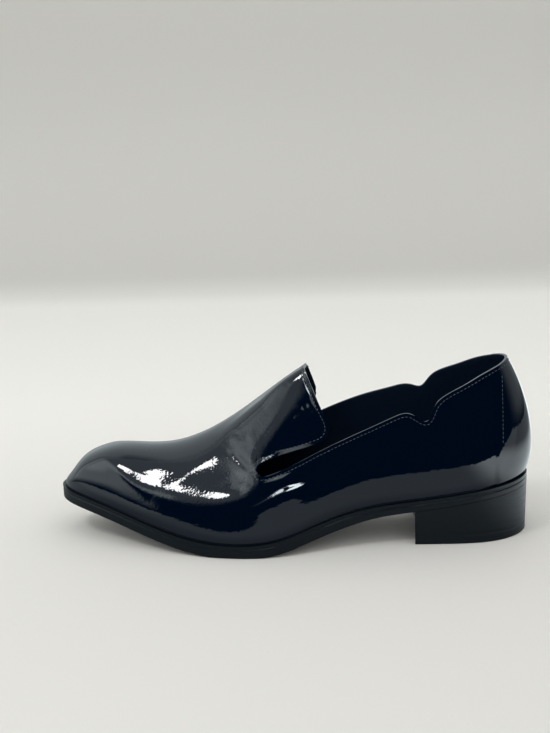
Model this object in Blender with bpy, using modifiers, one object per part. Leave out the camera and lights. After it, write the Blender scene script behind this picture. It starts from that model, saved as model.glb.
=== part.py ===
"""Black patent leather slip-on loafer for the left foot, standing empty on its sole.

The shoe is drawn over its last. A station is the distance forward of the heel's back edge, out is
the distance towards the outer side of the foot, and a height is over the floor, all in
millimetres. In the finished frame the toe points to -X, the outer side to -Y, and +Z is up.
"""

from math import comb, cos, pi, radians, sin
from typing import NamedTuple

import bmesh
import bpy
import numpy as np

MM = 0.001

# Driving sizes, in millimetres
WALL = 1.8  # leather and lining together
GAP = 0.3  # between pieces that meet
LEDGE = 2.0  # sole edge that shows past the upper
SOLE_ROUND = 0.9  # rounding of the sole's edges
HEEL_BREAST = 75.5  # station of the heel block's front face
HEEL_TAPER = 0.8  # how much the heel block draws in towards the floor
HEEL_HOLLOW = 3.0  # how far the breast curves back at its middle
INSOLE_THICK = 3.0
INSOLE_CLEAR = 0.6  # between insole and wall
INSOLE_TOE_CLEAR = 9.0  # more room at the toe, where the wall leans back
TONGUE_TIP = 145.3  # station of the tongue's end on the ridge
TONGUE_CURVE = 2.2  # power that draws the tongue's end back towards its corners
SWING_RATE = 0.5  # station spent on each degree that a rib turns round the heel

# Numbers of mesh divisions
QUARTER_COLUMNS = 42  # from a slit to the heel's back, on each side
QUARTER_ROWS = 9  # from the sole to the topline
VAMP_COLUMNS = 20  # from the slits to the toe
CROWN_ROWS = 8  # from a slit to the ridge
TONGUE_COLUMNS = 9  # from the slits to the tongue's end
SOLE_COLUMNS = 56  # from heel to toe
HEEL_COLUMNS = 18  # from the heel's back to its breast
CROSS_ROWS = 6  # across the soles and the heel block

LOOP_SAMPLES = 4000  # readings along the loop when a station is looked up
RISE_HALVINGS = 40  # steps of the search for a height on a rib

MERGE = 0.00001  # metres within which seam points are one
SHARP_ANGLE = radians(35)

OUTER, INNER = 1, -1


class Rib(NamedTuple):
    """One rib of the last, from the sole up to the ridge. Its halves are read from its axis."""

    pivot: float  # station of the rib's upright axis
    swing: float  # degrees that the rib turns back round the heel
    middle: float  # sideways place of the rib's axis, from which its widths are read
    outer_foot: float  # where the outer wall meets the sole
    inner_foot: float
    outer_swell: float  # how far the wall swells past its foot
    inner_swell: float
    swell_up: float  # height of the swell over the foot
    wall: float  # half width of the wall where it starts to close
    wall_up: float
    crown: float  # half width of the crown
    crown_up: float  # height of the ridge
    ridge: float  # sideways place of the ridge from the axis


RIBS = (
    Rib(316.0, 0, -8.0, 0.0, 0.0, 0.0, 0.0, 0.0, 0.0, 0.0, 0.0, 0.0, 0.0),
    Rib(311.0, 0, -8.0, 12.4, 12.4, 0.3, 0.3, 3.0, 11.6, 38.5, 7.0, 40.4, 0.0),
    Rib(304.0, 0, -7.8, 18.2, 18.2, 0.6, 0.6, 5.5, 17.0, 46.0, 11.0, 48.8, 0.0),
    Rib(293.0, 0, -6.6, 23.6, 24.0, 0.8, 0.8, 7.5, 22.0, 52.0, 13.5, 56.0, 0.2),
    Rib(278.0, 0, -4.6, 28.8, 30.2, 1.0, 1.0, 8.5, 26.4, 55.5, 15.5, 60.2, 0.4),
    Rib(258.0, 0, -1.8, 34.8, 37.0, 1.6, 1.6, 9.5, 31.8, 53.5, 16.0, 60.4, -0.4),
    Rib(235.0, 0, 0.0, 41.8, 42.2, 3.0, 3.0, 14.0, 37.0, 53.0, 15.0, 62.2, -1.4),
    Rib(210.0, 0, 0.0, 48.6, 45.4, 3.5, 3.5, 17.0, 38.0, 60.0, 14.0, 71.5, -2.0),
    Rib(185.0, 0, 0.0, 51.5, 41.2, 3.5, 5.0, 20.0, 37.0, 74.0, 13.0, 87.0, -2.4),
    Rib(160.0, 0, 0.0, 48.6, 33.0, 3.0, 8.0, 18.0, 36.0, 90.0, 13.0, 105.0, -2.6),
    Rib(138.0, 0, 0.0, 41.5, 27.0, 3.2, 9.0, 17.0, 34.0, 94.0, 13.0, 119.0, -2.4),
    Rib(115.0, 0, 0.0, 35.0, 25.0, 3.6, 7.5, 16.0, 32.0, 92.0, 14.5, 130.0, -2.0),
    Rib(92.0, 0, 0.0, 32.0, 26.2, 3.6, 6.5, 15.5, 30.5, 92.0, 17.0, 138.0, -1.4),
    Rib(68.0, 0, 0.0, 31.2, 28.4, 3.6, 5.0, 15.0, 29.5, 94.0, 19.0, 142.0, -0.7),
    Rib(45.0, 0, 0.0, 30.6, 29.4, 3.8, 4.4, 15.0, 29.0, 95.0, 20.0, 144.0, 0.0),
    Rib(45.0, 30, 0.0, 32.6, 31.8, 4.8, 5.0, 16.0, 30.5, 96.0, 22.0, 144.0, 0.0),
    Rib(45.0, 60, 0.0, 38.6, 38.2, 8.0, 8.0, 19.0, 35.5, 100.0, 26.5, 144.0, 0.0),
    Rib(45.0, 90, 0.0, 43.5, 43.5, 13.0, 13.0, 24.0, 41.0, 101.0, 30.0, 140.0, 0.0),
)


class Seat(NamedTuple):
    """Height of the sole's top, and the depth of its edge, at one station."""

    station: float
    top: float
    edge: float


SEATS = (
    Seat(-6, 40.4, 6.2),
    Seat(22, 37.2, 6.4),
    Seat(50, 33.2, 6.6),
    Seat(77, 29.6, 7.0),
    Seat(98, 27.2, 7.4),
    Seat(119, 23.4, 8.4),
    Seat(141, 17.4, 8.9),
    Seat(165, 10.2, 8.8),
    Seat(185, 8.1, 8.6),
    Seat(205, 8.3, 8.6),
    Seat(230, 11.9, 8.5),
    Seat(260, 19.8, 8.4),
    Seat(290, 27.5, 8.2),
    Seat(320, 32.4, 8.0),
)


class EdgePoint(NamedTuple):
    """A point of a cut edge on the last, by its station and height."""

    station: float
    height: float


SLIT_FRONT = 177.3

OUTER_TOPLINE = (
    EdgePoint(SLIT_FRONT, 55.5),
    EdgePoint(174.5, 52.0),
    EdgePoint(168.0, 52.8),
    EdgePoint(156.0, 57.1),
    EdgePoint(135.0, 66.2),
    EdgePoint(104.0, 78.9),
    EdgePoint(88.0, 85.7),
    EdgePoint(80.5, 87.9),
    EdgePoint(74.0, 85.9),
    EdgePoint(67.3, 82.7),
    EdgePoint(64.0, 87.5),
    EdgePoint(61.0, 93.7),
    EdgePoint(56.0, 98.3),
    EdgePoint(44.4, 104.3),
    EdgePoint(20.0, 113.9),
    EdgePoint(0.0, 117.8),
)
INNER_TOPLINE = (
    EdgePoint(SLIT_FRONT, 62.0),
    EdgePoint(174.5, 58.6),
    EdgePoint(168.0, 59.8),
    EdgePoint(156.0, 65.0),
    EdgePoint(135.0, 75.6),
    EdgePoint(108.0, 86.5),
    EdgePoint(90.0, 91.2),
    EdgePoint(80.5, 93.4),
    EdgePoint(74.0, 92.8),
    EdgePoint(68.6, 91.6),
    EdgePoint(65.0, 94.6),
    EdgePoint(61.0, 99.8),
    EdgePoint(55.0, 103.6),
    EdgePoint(44.4, 107.2),
    EdgePoint(20.0, 114.6),
    EdgePoint(0.0, 117.8),
)
OUTER_TONGUE = (
    EdgePoint(SLIT_FRONT, 55.5),
    EdgePoint(175.5, 58.7),
    EdgePoint(170.0, 61.5),
    EdgePoint(160.0, 65.0),
    EdgePoint(137.0, 71.0),
    EdgePoint(132.2, 73.8),
    EdgePoint(130.0, 78.4),
    EdgePoint(131.0, 84.0),
)
INNER_TONGUE = (
    EdgePoint(SLIT_FRONT, 62.0),
    EdgePoint(175.5, 65.5),
    EdgePoint(170.0, 68.8),
    EdgePoint(162.0, 72.6),
    EdgePoint(147.5, 79.4),
    EdgePoint(142.8, 82.4),
    EdgePoint(140.3, 87.0),
    EdgePoint(139.8, 93.4),
)
TOPLINES = {OUTER: OUTER_TOPLINE, INNER: INNER_TOPLINE}
TONGUE_EDGES = {OUTER: OUTER_TONGUE, INNER: INNER_TONGUE}


def smooth_curve(knots, rows):
    """A natural cubic spline through the rows, as a function of the knots."""
    knots, rows = np.asarray(knots, float), np.asarray(rows, float)
    steps, count = np.diff(knots), len(knots)
    slopes = np.diff(rows, axis=0) / steps[:, None]
    system, right = np.eye(count), np.zeros_like(rows)
    for i in range(1, count - 1):
        system[i, i - 1 : i + 2] = steps[i - 1], 2 * (steps[i - 1] + steps[i]), steps[i]
        right[i] = 6 * (slopes[i] - slopes[i - 1])
    bend = np.linalg.solve(system, right)

    def at(places):
        places = np.asarray(places, float)
        i = np.clip(np.searchsorted(knots, places) - 1, 0, count - 2)
        step = steps[i][..., None]
        after = (knots[i + 1] - places)[..., None] / step
        before = 1 - after
        curve = (after**3 - after) * bend[i] + (before**3 - before) * bend[i + 1]
        return after * rows[i] + before * rows[i + 1] + curve * step**2 / 6

    return at


seat_curve = smooth_curve([seat.station for seat in SEATS], [seat[1:] for seat in SEATS])


def seat_height(station):
    return seat_curve(station)[..., 0]


def sole_bottom(station):
    """Underside of the sole, cut off flat where it would pass the floor."""
    top, edge = np.moveaxis(seat_curve(station), -1, 0)
    return np.maximum(top - edge, 0)


def rib_controls(rib, side):
    """The five control points of a rib's curve on one side, each as (station, out, height)."""
    along, across = -sin(radians(rib.swing)), side * cos(radians(rib.swing))
    foot = rib.outer_foot if side == OUTER else rib.inner_foot
    swell = rib.outer_swell if side == OUTER else rib.inner_swell
    seat = float(seat_height(rib.pivot + along * foot)) + GAP

    def point(reach, height, ridge=0.0):
        return rib.pivot + along * reach, rib.middle + ridge + across * reach, max(height, seat)

    return (
        point(foot, seat),
        point(foot + swell, seat + rib.swell_up),
        point(rib.wall, rib.wall_up),
        point(rib.crown, rib.crown_up, rib.ridge),
        point(0.0, rib.crown_up, rib.ridge),
    )


def past_the_toe(tip, rib):
    """A rib carried through the toe's tip to its other side, so that the nose closes round."""
    mirrored = 2 * tip - rib
    mirrored[:, 0] = rib[:, 0]
    mirrored[:, 2] = 2 * rib[0, 2] - rib[:, 2]
    return mirrored


def rib_loop():
    """The ribs' control points and stations, as one curve along the loop from the toe's tip.

    The loop runs back on the outer side, round the heel, and forward on the inner side.
    """
    outer, inner = (
        np.array([rib_controls(rib, side) for rib in RIBS]) for side in (OUTER, INNER)
    )
    swells = np.stack([outer, inner])[:, :, 1, :2]
    chords = np.linalg.norm(np.diff(swells, axis=1), axis=2).mean(axis=0)
    steps = np.concatenate([chords[:1], chords, chords[::-1], chords[:1]])
    knots = np.concatenate([[0], np.cumsum(steps)]) - chords[0]
    loop = [
        past_the_toe(outer[0], outer[1]),
        *outer,
        *inner[-2::-1],
        past_the_toe(inner[0], inner[1]),
    ]
    stations = [rib.pivot - SWING_RATE * rib.swing for rib in RIBS]
    stations = [stations[1], *stations, *stations[-2::-1], stations[1]]
    rows = [np.append(rib.ravel(), station) for rib, station in zip(loop, stations)]
    return smooth_curve(knots, rows), chords.sum()


loop_curve, BACK = rib_loop()
GIRTHS = np.linspace(0, BACK, LOOP_SAMPLES + 1)
GIRTH_STATIONS = loop_curve(GIRTHS)[:, -1]


def girth_of(station):
    """Place of a station along the loop, from the toe's tip to the heel's back."""
    return np.interp(-np.asarray(station, float), -GIRTH_STATIONS, GIRTHS)


def along_loop(side, girth):
    return girth if side == OUTER else 2 * BACK - girth


def ribs_at(side, girth):
    values = loop_curve(along_loop(side, girth))
    return values[..., :-1].reshape(values.shape[:-1] + (5, 3))


def on_rib(ribs, rise):
    """Points of the last at a rise from 0, at the sole, to 1, at the ridge, on each rib."""
    rise = rise[:, None]
    weights = [comb(4, k) * rise**k * (1 - rise) ** (4 - k) for k in range(5)]
    return sum(weight * ribs[:, k] for k, weight in enumerate(weights))


def rise_to(ribs, height):
    """The rise at which each rib reaches a height."""
    low, high = np.zeros(len(ribs)), np.ones(len(ribs))
    for _ in range(RISE_HALVINGS):
        middle = (low + high) / 2
        under = on_rib(ribs, middle)[:, 2] < height
        low, high = np.where(under, middle, low), np.where(under, high, middle)
    return low


def cut_edge(points, share):
    """Stations and heights along a cut edge, at shares from 0 to 1 that crowd where it turns."""
    stations, heights = np.array(points).T
    runs = np.hypot(np.diff(girth_of(stations)), np.diff(heights))
    knots = np.concatenate([[0], np.cumsum(np.sqrt(runs))])
    return np.moveaxis(smooth_curve(knots, points)(share * knots[-1]), -1, 0)


def slit_rise(side, count):
    """The rise of the slit's front end, where vamp, quarter and tongue meet."""
    ribs = ribs_at(side, np.full(count, girth_of(SLIT_FRONT)))
    return rise_to(ribs, TOPLINES[side][0].height)


def quarter(side):
    """The wall from the slit's front back to the heel, up to its topline."""

    def shape(back, up):
        stations, heights = cut_edge(TOPLINES[side], back)
        ribs = ribs_at(side, girth_of(stations))
        return on_rib(ribs, up * rise_to(ribs, heights))

    return shape


def vamp(side):
    """The wall from the slit's front forward to the toe, up to the ridge."""
    split = QUARTER_ROWS / (QUARTER_ROWS + CROWN_ROWS)

    def shape(forward, up):
        ribs = ribs_at(side, girth_of(SLIT_FRONT) * (1 - forward))
        slit = slit_rise(side, len(up))
        lower = slit * up / split
        upper = slit + (1 - slit) * (up - split) / (1 - split)
        return on_rib(ribs, np.where(up < split, lower, upper))

    return shape


def tongue(side):
    """The vamp's tongue, from the slit's front back to its end, and from the ridge to its edge."""

    def shape(back, down):
        stations, heights = cut_edge(TONGUE_EDGES[side], back)
        edge_rise = rise_to(ribs_at(side, girth_of(stations)), heights)
        middle = SLIT_FRONT + back * (TONGUE_TIP - SLIT_FRONT)
        stations = middle + (stations - middle) * down**TONGUE_CURVE
        return on_rib(ribs_at(side, girth_of(stations)), 1 - down * (1 - edge_rise))

    return shape


def outline(side, girth, grow):
    """Stations and outs of the upper's foot line, pushed outwards in plan."""
    step = BACK / LOOP_SAMPLES
    along = along_loop(side, girth)
    run = loop_curve(along + step)[:, :2] - loop_curve(along - step)[:, :2]
    run /= np.linalg.norm(run, axis=1)[:, None]
    outwards = np.stack([run[:, 1], -run[:, 0]], axis=1)
    return loop_curve(along)[:, :2] + grow * outwards


def across(girth, share, grow):
    """Plan points between the outer and inner edges of a sole."""
    outer, inner = outline(OUTER, girth, grow), outline(INNER, girth, grow)
    return outer + (inner - outer) * share[:, None]


def with_height(plan, height):
    return np.column_stack([plan, height])


def sole_top(forward, share):
    plan = across(BACK * (1 - forward), share, LEDGE)
    return with_height(plan, seat_height(plan[:, 0]))


def sole_under(forward, share):
    plan = across(BACK * (1 - forward), share, LEDGE)
    return with_height(plan, sole_bottom(plan[:, 0]))


def heel_plan(forward, share, grow):
    breast = girth_of(HEEL_BREAST)
    plan = across(BACK + forward * (breast - BACK), share, grow)
    hollow = 4 * share * (1 - share) * forward**4
    return plan - np.stack([HEEL_HOLLOW * hollow, np.zeros(len(share))], axis=1)


def heel_top(forward, share):
    plan = heel_plan(forward, share, LEDGE)
    return with_height(plan, sole_bottom(plan[:, 0]) - GAP)


def heel_under(forward, share):
    return with_height(heel_plan(forward, share, LEDGE - HEEL_TAPER), np.zeros(len(share)))


def insole_plan(forward, share):
    """The insole's outline, drawn back from the toe where the wall leans over it."""
    plan = across(BACK * (1 - forward), share, -WALL - INSOLE_CLEAR)
    plan[:, 0] -= INSOLE_TOE_CLEAR * forward**4
    return plan


def insole_under(forward, share):
    plan = insole_plan(forward, share)
    return with_height(plan, seat_height(plan[:, 0]) + GAP)


def insole_top(forward, share):
    return insole_under(forward, share) + (0, 0, INSOLE_THICK)


def shaped_grid(bm, columns, rows, shape):
    """Adds a grid of faces, with its points moved to a shape given by two shares from 0 to 1."""
    made = bmesh.ops.create_grid(bm, x_segments=columns, y_segments=rows, size=0.5)["verts"]
    shares = np.array([vert.co[:2] for vert in made], float).round(5) + 0.5
    for vert, point in zip(made, shape(shares[:, 0], shares[:, 1])):
        vert.co = point * MM
    return made


def upper_sheet():
    """The upper as one open sheet over the last, to which Solidify gives the wall."""
    bm = bmesh.new()
    for side in (OUTER, INNER):
        shaped_grid(bm, QUARTER_COLUMNS, QUARTER_ROWS, quarter(side))
        shaped_grid(bm, VAMP_COLUMNS, QUARTER_ROWS + CROWN_ROWS, vamp(side))
        shaped_grid(bm, TONGUE_COLUMNS, CROWN_ROWS, tongue(side))
    return bm


def slab(columns, under, top):
    """A closed solid between an underside and a top, bridged round their edges."""
    bm = bmesh.new()
    shaped_grid(bm, columns, CROSS_ROWS, under)
    shaped_grid(bm, columns, CROSS_ROWS, top)
    bmesh.ops.remove_doubles(bm, verts=bm.verts, dist=MERGE)
    bmesh.ops.bridge_loops(bm, edges=[edge for edge in bm.edges if edge.is_boundary])
    return bm


def finish(name, colour, roughness):
    """A material with the colour and gloss of one piece."""
    material = bpy.data.materials.new(name)
    material.use_nodes = True
    shader = material.node_tree.nodes["Principled BSDF"]
    shader.inputs["Base Color"].default_value = (*colour, 1.0)
    shader.inputs["Roughness"].default_value = roughness
    shader.inputs["Metallic"].default_value = 0.0
    return material


def add_piece(name, bm, material, collection, frame):
    """Closes the seams of a modelled piece and puts it in the shoe's frame."""
    bmesh.ops.remove_doubles(bm, verts=bm.verts, dist=MERGE)
    bmesh.ops.dissolve_degenerate(bm, edges=bm.edges, dist=MERGE)
    bmesh.ops.recalc_face_normals(bm, faces=bm.faces)
    if bm.calc_volume(signed=True) < 0:
        bmesh.ops.reverse_faces(bm, faces=bm.faces)
    mesh = bpy.data.meshes.new(name)
    bm.to_mesh(mesh)
    bm.free()
    mesh.materials.append(material)
    mesh.shade_smooth()
    mesh.set_sharp_from_angle(angle=SHARP_ANGLE)
    piece = bpy.data.objects.new(name, mesh)
    piece.parent = frame
    collection.objects.link(piece)
    return piece


def thicken(upper):
    """Gives the upper's sheet its wall, inwards from the last."""
    wall = upper.modifiers.new("Wall", "SOLIDIFY")
    wall.thickness = WALL * MM
    wall.offset = -1.0
    wall.use_even_offset = True


def round_edges(sole):
    rounding = sole.modifiers.new("Rounded edges", "BEVEL")
    rounding.width = SOLE_ROUND * MM
    rounding.segments = 2
    rounding.limit_method = "ANGLE"
    rounding.angle_limit = SHARP_ANGLE


def centre_frame(frame, pieces):
    """Turns the toe to -X, with the middle of the shoe's footprint at the origin."""
    points = np.array([vert.co for piece in pieces for vert in piece.data.vertices])
    middle = (points.min(axis=0) + points.max(axis=0)) / 2
    frame.rotation_euler = (0.0, 0.0, pi)
    frame.location = (middle[0], middle[1], 0.0)


def main():
    for thing in list(bpy.data.objects):
        bpy.data.objects.remove(thing, do_unlink=True)
    collection = bpy.data.collections.new("Patent leather loafer")
    bpy.context.scene.collection.children.link(collection)
    frame = bpy.data.objects.new("loafer_frame", None)
    collection.objects.link(frame)

    patent = finish("Black patent leather", (0.006, 0.007, 0.010), 0.06)
    rubber = finish("Black rubber sole", (0.015, 0.018, 0.022), 0.45)
    stacked = finish("Black stacked heel", (0.012, 0.014, 0.018), 0.38)
    lining = finish("Black insole leather", (0.010, 0.012, 0.016), 0.60)

    upper = add_piece("upper", upper_sheet(), patent, collection, frame)
    thicken(upper)
    outsole = add_piece("outsole", slab(SOLE_COLUMNS, sole_under, sole_top), rubber, collection, frame)
    round_edges(outsole)
    heel = slab(HEEL_COLUMNS, heel_under, heel_top)
    add_piece("heel", heel, stacked, collection, frame)
    insole = slab(SOLE_COLUMNS, insole_under, insole_top)
    add_piece("insole", insole, lining, collection, frame)
    centre_frame(frame, (upper, outsole))


main()
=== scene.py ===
"""Finish of a black patent leather loafer, laid out as an add-on.

The fine surfaces follow the shoe's last. A station is the distance forward of the heel's back edge,
out is the distance towards the outer side of the foot, and a height is over the floor, all in
millimetres. In the frame the toe points to -X, the outer side to -Y, and +Z is up.
"""

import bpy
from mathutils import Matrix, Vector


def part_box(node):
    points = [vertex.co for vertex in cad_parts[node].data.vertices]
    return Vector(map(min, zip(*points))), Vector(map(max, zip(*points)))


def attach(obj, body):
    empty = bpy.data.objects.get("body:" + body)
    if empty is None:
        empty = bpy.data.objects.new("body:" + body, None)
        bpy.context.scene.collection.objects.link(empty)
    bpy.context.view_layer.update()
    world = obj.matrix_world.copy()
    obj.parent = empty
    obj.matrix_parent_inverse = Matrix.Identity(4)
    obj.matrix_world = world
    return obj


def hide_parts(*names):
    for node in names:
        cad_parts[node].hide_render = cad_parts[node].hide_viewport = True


bl_info = {
    "name": "Patent Loafer Finish",
    "version": (1, 0, 0),
    "blender": (4, 5, 0),
    "location": "3D View > Sidebar > Loafer",
    "description": "Fine surfaces, stitching, finishes and studio for a patent leather loafer",
    "category": "Object",
}

from math import comb, cos, pi, radians, sin
from typing import NamedTuple

import bmesh
import bpy
import numpy as np
from bpy.props import FloatProperty, FloatVectorProperty, PointerProperty
from bpy.types import Operator, Panel, PropertyGroup
from mathutils import Matrix, Vector, kdtree, noise
from mathutils.bvhtree import BVHTree

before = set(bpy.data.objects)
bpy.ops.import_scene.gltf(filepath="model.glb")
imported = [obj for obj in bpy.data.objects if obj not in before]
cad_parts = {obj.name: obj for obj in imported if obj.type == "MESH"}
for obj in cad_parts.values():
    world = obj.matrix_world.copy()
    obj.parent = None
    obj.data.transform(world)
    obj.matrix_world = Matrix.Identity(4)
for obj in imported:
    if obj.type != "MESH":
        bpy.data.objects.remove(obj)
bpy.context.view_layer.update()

MM = 0.001
BODY = "root"
OUTER, INNER = 1, -1
FLEX = "flex"

# Sizes of the last that the upper and the sole share, in millimetres
GAP = 0.3
LEDGE = 2.0
HEEL_BREAST = 75.5
HEEL_TAPER = 0.8
HEEL_HOLLOW = 3.0
INSOLE_THICK = 3.0
INSOLE_CLEAR = 0.6
INSOLE_TOE_CLEAR = 9.0
TONGUE_TIP = 145.3
TONGUE_CURVE = 2.2
SWING_RATE = 0.5
LAST_WALL = 1.8

# Numbers of mesh divisions
QUARTER_COLUMNS = 190
QUARTER_ROWS = 44
VAMP_COLUMNS = 110
CROWN_ROWS = 40
TONGUE_COLUMNS = 46
SOLE_COLUMNS = 220
SOLE_ROWS = 20
SOLE_WALL_ROWS = 14
HEEL_COLUMNS = 72
HEEL_WALL_ROWS = 48
INSOLE_ROWS = 24
PATH_SAMPLES = 90
EDGE_SAMPLES = 700
LOOP_SAMPLES = 4000
RISE_HALVINGS = 40

# Distances under which points count as one, in metres
MERGE = 0.00001
SHORTEST_STEP = 0.0000001


class Rib(NamedTuple):
    """One rib of the last, from the sole up to the ridge. Its halves are read from its axis."""

    pivot: float  # station of the rib's upright axis
    swing: float  # degrees that the rib turns back round the heel
    middle: float  # sideways place of the rib's axis, from which its widths are read
    outer_foot: float  # where the outer wall meets the sole
    inner_foot: float
    outer_swell: float  # how far the wall swells past its foot
    inner_swell: float
    swell_up: float  # height of the swell over the foot
    wall: float  # half width of the wall where it starts to close
    wall_up: float
    crown: float  # half width of the crown
    crown_up: float  # height of the ridge
    ridge: float  # sideways place of the ridge from the axis


RIBS = (
    Rib(316.0, 0, -8.0, 0.0, 0.0, 0.0, 0.0, 0.0, 0.0, 0.0, 0.0, 0.0, 0.0),
    Rib(311.0, 0, -8.0, 12.4, 12.4, 0.3, 0.3, 3.0, 11.6, 38.5, 7.0, 40.4, 0.0),
    Rib(304.0, 0, -7.8, 18.2, 18.2, 0.6, 0.6, 5.5, 17.0, 46.0, 11.0, 48.8, 0.0),
    Rib(293.0, 0, -6.6, 23.6, 24.0, 0.8, 0.8, 7.5, 22.0, 52.0, 13.5, 56.0, 0.2),
    Rib(278.0, 0, -4.6, 28.8, 30.2, 1.0, 1.0, 8.5, 26.4, 55.5, 15.5, 60.2, 0.4),
    Rib(258.0, 0, -1.8, 34.8, 37.0, 1.6, 1.6, 9.5, 31.8, 53.5, 16.0, 60.4, -0.4),
    Rib(235.0, 0, 0.0, 41.8, 42.2, 3.0, 3.0, 14.0, 37.0, 53.0, 15.0, 62.2, -1.4),
    Rib(210.0, 0, 0.0, 48.6, 45.4, 3.5, 3.5, 17.0, 38.0, 60.0, 14.0, 71.5, -2.0),
    Rib(185.0, 0, 0.0, 51.5, 41.2, 3.5, 5.0, 20.0, 37.0, 74.0, 13.0, 87.0, -2.4),
    Rib(160.0, 0, 0.0, 48.6, 33.0, 3.0, 8.0, 18.0, 36.0, 90.0, 13.0, 105.0, -2.6),
    Rib(138.0, 0, 0.0, 41.5, 27.0, 3.2, 9.0, 17.0, 34.0, 94.0, 13.0, 119.0, -2.4),
    Rib(115.0, 0, 0.0, 35.0, 25.0, 3.6, 7.5, 16.0, 32.0, 92.0, 14.5, 130.0, -2.0),
    Rib(92.0, 0, 0.0, 32.0, 26.2, 3.6, 6.5, 15.5, 30.5, 92.0, 17.0, 138.0, -1.4),
    Rib(68.0, 0, 0.0, 31.2, 28.4, 3.6, 5.0, 15.0, 29.5, 94.0, 19.0, 142.0, -0.7),
    Rib(45.0, 0, 0.0, 30.6, 29.4, 3.8, 4.4, 15.0, 29.0, 95.0, 20.0, 144.0, 0.0),
    Rib(45.0, 30, 0.0, 32.6, 31.8, 4.8, 5.0, 16.0, 30.5, 96.0, 22.0, 144.0, 0.0),
    Rib(45.0, 60, 0.0, 38.6, 38.2, 8.0, 8.0, 19.0, 35.5, 100.0, 26.5, 144.0, 0.0),
    Rib(45.0, 90, 0.0, 43.5, 43.5, 13.0, 13.0, 24.0, 41.0, 101.0, 30.0, 140.0, 0.0),
)


class Seat(NamedTuple):
    """Height of the sole's top, and the depth of its edge, at one station."""

    station: float
    top: float
    edge: float


SEATS = (
    Seat(-6, 40.4, 6.2),
    Seat(22, 37.2, 6.4),
    Seat(50, 33.2, 6.6),
    Seat(77, 29.6, 7.0),
    Seat(98, 27.2, 7.4),
    Seat(119, 23.4, 8.4),
    Seat(141, 17.4, 8.9),
    Seat(165, 10.2, 8.8),
    Seat(185, 8.1, 8.6),
    Seat(205, 8.3, 8.6),
    Seat(230, 11.9, 8.5),
    Seat(260, 19.8, 8.4),
    Seat(290, 27.5, 8.2),
    Seat(320, 32.4, 8.0),
)


class Spot(NamedTuple):
    """A point on the last's wall, by its station and height."""

    station: float
    height: float


SLIT_FRONT = 177.3

OUTER_TOPLINE = (
    Spot(SLIT_FRONT, 55.5),
    Spot(174.5, 52.0),
    Spot(168.0, 52.8),
    Spot(156.0, 57.1),
    Spot(135.0, 66.2),
    Spot(104.0, 78.9),
    Spot(88.0, 85.7),
    Spot(80.5, 87.9),
    Spot(74.0, 85.9),
    Spot(67.3, 82.7),
    Spot(64.0, 87.5),
    Spot(61.0, 93.7),
    Spot(56.0, 98.3),
    Spot(44.4, 104.3),
    Spot(20.0, 113.9),
    Spot(0.0, 117.8),
)
INNER_TOPLINE = (
    Spot(SLIT_FRONT, 62.0),
    Spot(174.5, 58.6),
    Spot(168.0, 59.8),
    Spot(156.0, 65.0),
    Spot(135.0, 75.6),
    Spot(108.0, 86.5),
    Spot(90.0, 91.2),
    Spot(80.5, 93.4),
    Spot(74.0, 92.8),
    Spot(68.6, 91.6),
    Spot(65.0, 94.6),
    Spot(61.0, 99.8),
    Spot(55.0, 103.6),
    Spot(44.4, 107.2),
    Spot(20.0, 114.6),
    Spot(0.0, 117.8),
)
OUTER_TONGUE = (
    Spot(SLIT_FRONT, 55.5),
    Spot(175.5, 58.7),
    Spot(170.0, 61.5),
    Spot(160.0, 65.0),
    Spot(137.0, 71.0),
    Spot(132.2, 73.8),
    Spot(130.0, 78.4),
    Spot(131.0, 84.0),
)
INNER_TONGUE = (
    Spot(SLIT_FRONT, 62.0),
    Spot(175.5, 65.5),
    Spot(170.0, 68.8),
    Spot(162.0, 72.6),
    Spot(147.5, 79.4),
    Spot(142.8, 82.4),
    Spot(140.3, 87.0),
    Spot(139.8, 93.4),
)
TOPLINES = {OUTER: OUTER_TOPLINE, INNER: INNER_TOPLINE}
TONGUE_EDGES = {OUTER: OUTER_TONGUE, INNER: INNER_TONGUE}


class Fold(NamedTuple):
    """A soft ridge, or a trough where its lift is negative, along a path on one side."""

    side: int
    lift: float
    width: float
    path: tuple  # of stations and heights, from the toe towards the heel
    inner_width: float = 0.0  # on the side towards the ridge, where it differs


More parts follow.
